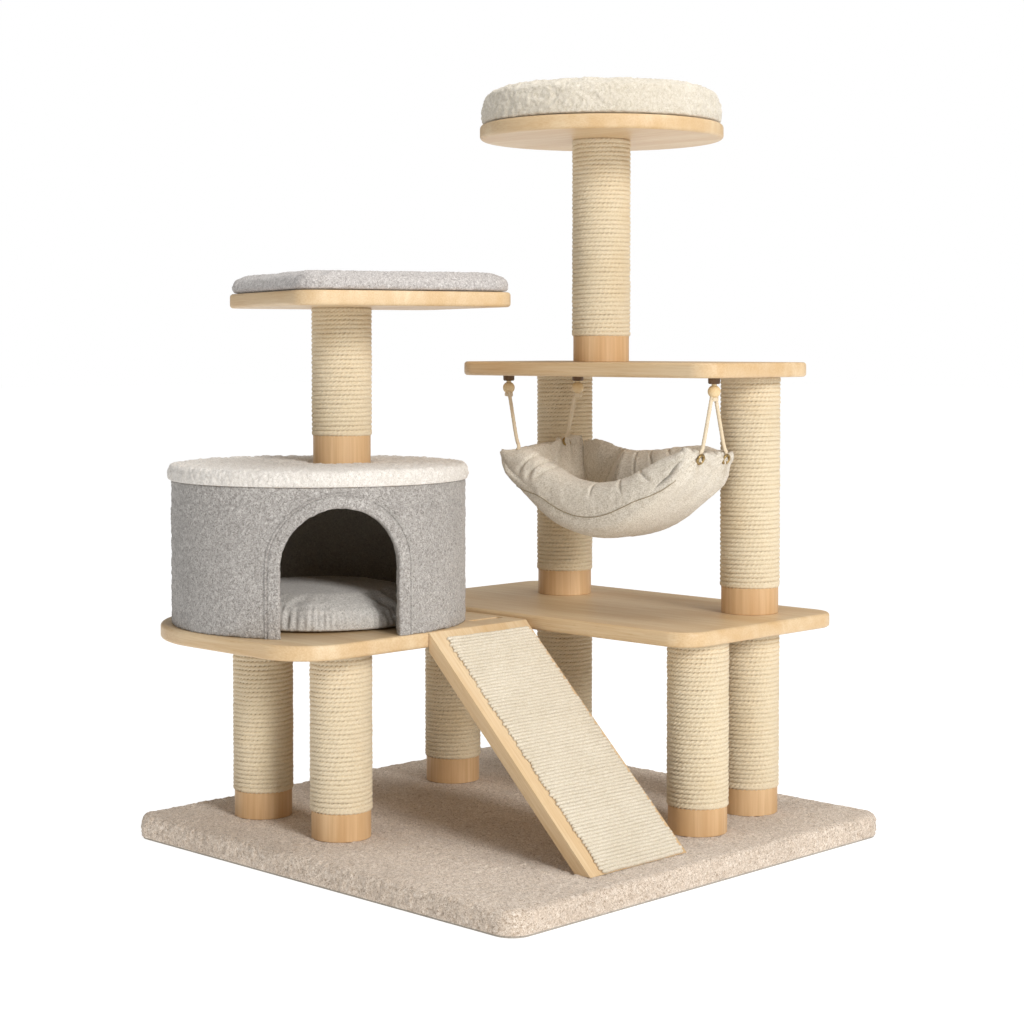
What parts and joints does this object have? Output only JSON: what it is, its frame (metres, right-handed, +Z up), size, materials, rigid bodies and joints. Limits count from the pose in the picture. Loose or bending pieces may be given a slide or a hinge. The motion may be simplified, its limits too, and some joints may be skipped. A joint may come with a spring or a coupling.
{
  "type": "cat tree",
  "caption": "Multi-level cat tree with a square carpeted base, rope-wrapped posts, wooden shelves, a round den, a ramp, a swinging hammock and padded perches.",
  "frame": {"origin": "centre of the base's underside, on the floor", "axes": "+Z up, +X along the base's front left edge in the direction in which the ramp runs down, +Y towards the upper shelf"},
  "size_m": [0.8109, 0.851, 1.145],
  "materials": {
    "board_wood": "satin lacquered light beech",
    "collar_wood": "satin tan veneer",
    "core_board": "plain particle board",
    "knob_wood": "turned pale wood",
    "bracket_wood": "stained dark wood",
    "sisal_rope": "twisted natural sisal",
    "base_carpet": "beige loop pile",
    "dark_lining": "thin dark felt",
    "den_plush": "light grey heather plush",
    "lid_plush": "off-white plush",
    "den_cushion_cloth": "cool grey woven cloth",
    "pad_plush": "grey heather plush",
    "sherpa": "cream sherpa pile",
    "sisal_mat": "ribbed pale sisal mat",
    "hammock_linen": "oatmeal linen",
    "cotton_cord": "twisted natural cord",
    "eyelet_brass": "aged brass",
    "zinc_steel": "zinc plated steel"
  },
  "bodies": {
    "root": {"base_board": "core_board", "base_carpet": "base_carpet", "base_lining": "dark_lining", "den_left_post_core": "collar_wood", "den_left_post_rope": "sisal_rope", "den_front_post_core": "collar_wood", "den_front_post_rope": "sisal_rope", "mid_left_post_core": "collar_wood", "mid_left_post_rope": "sisal_rope", "mid_back_post_core": "collar_wood", "mid_back_post_rope": "sisal_rope", "mid_front_post_core": "collar_wood", "mid_front_post_rope": "sisal_rope", "mid_right_post_core": "collar_wood", "mid_right_post_rope": "sisal_rope", "upper_back_post_core": "collar_wood", "upper_back_post_rope": "sisal_rope", "upper_right_post_core": "collar_wood", "upper_right_post_rope": "sisal_rope", "perch_post_core": "collar_wood", "perch_post_rope": "sisal_rope", "crown_post_core": "collar_wood", "crown_post_rope": "sisal_rope", "post_end_plugs": "core_board", "post_studs": "zinc_steel", "base_bolts": "zinc_steel", "den_platform": "board_wood", "mid_shelf": "board_wood", "joining_batten": "core_board", "batten_screws": "zinc_steel", "upper_shelf": "board_wood", "den_wall": "core_board", "den_wall_plush": "den_plush", "den_door_trim": "den_plush", "den_lining": "dark_lining", "den_wall_screws": "zinc_steel", "den_cushion": "den_cushion_cloth", "den_lid_board": "core_board", "den_lid_plush": "lid_plush", "den_lid_screws": "zinc_steel", "perch_stud_nut": "zinc_steel", "left_perch_board": "board_wood", "round_perch_board": "board_wood", "hammock_brackets": "bracket_wood", "hammock_knobs": "knob_wood"},
    "hammock": {"hammock_sling": "hammock_linen", "hammock_front_roll": "hammock_linen", "hammock_back_roll": "hammock_linen", "hammock_grommets": "eyelet_brass", "hammock_cord_front_left": "cotton_cord", "hammock_cord_back_left": "cotton_cord", "hammock_cord_front_right": "cotton_cord", "hammock_cord_back_right": "cotton_cord"},
    "ramp": {"ramp_board": "board_wood", "ramp_mat": "sisal_mat", "ramp_cleat": "board_wood", "ramp_cleat_screws": "zinc_steel"},
    "left_pad": {"left_perch_pad": "pad_plush"},
    "round_cushion": {"round_perch_cushion": "sherpa"}
  },
  "joints": [
    {"name": "hammock_swing", "type": "hinge", "parent": "root", "child": "hammock", "pos_m": [0.086, 0.125, 0.68], "axis": [1, 0, 0], "range_deg": [-25, 3]},
    {"name": "ramp_tilt", "type": "hinge", "parent": "root", "child": "ramp", "pos_m": [0.042, -0.107, 0.335], "axis": [0, -1, 0], "range_deg": [0, 25]},
    {"name": "left_pad_lift", "type": "slide", "parent": "root", "child": "left_pad", "axis": [0, 0, 1], "range_m": [0, 0.12]},
    {"name": "round_cushion_lift", "type": "slide", "parent": "root", "child": "round_cushion", "axis": [0, 0, 1], "range_m": [0, 0.12]}
  ]
}
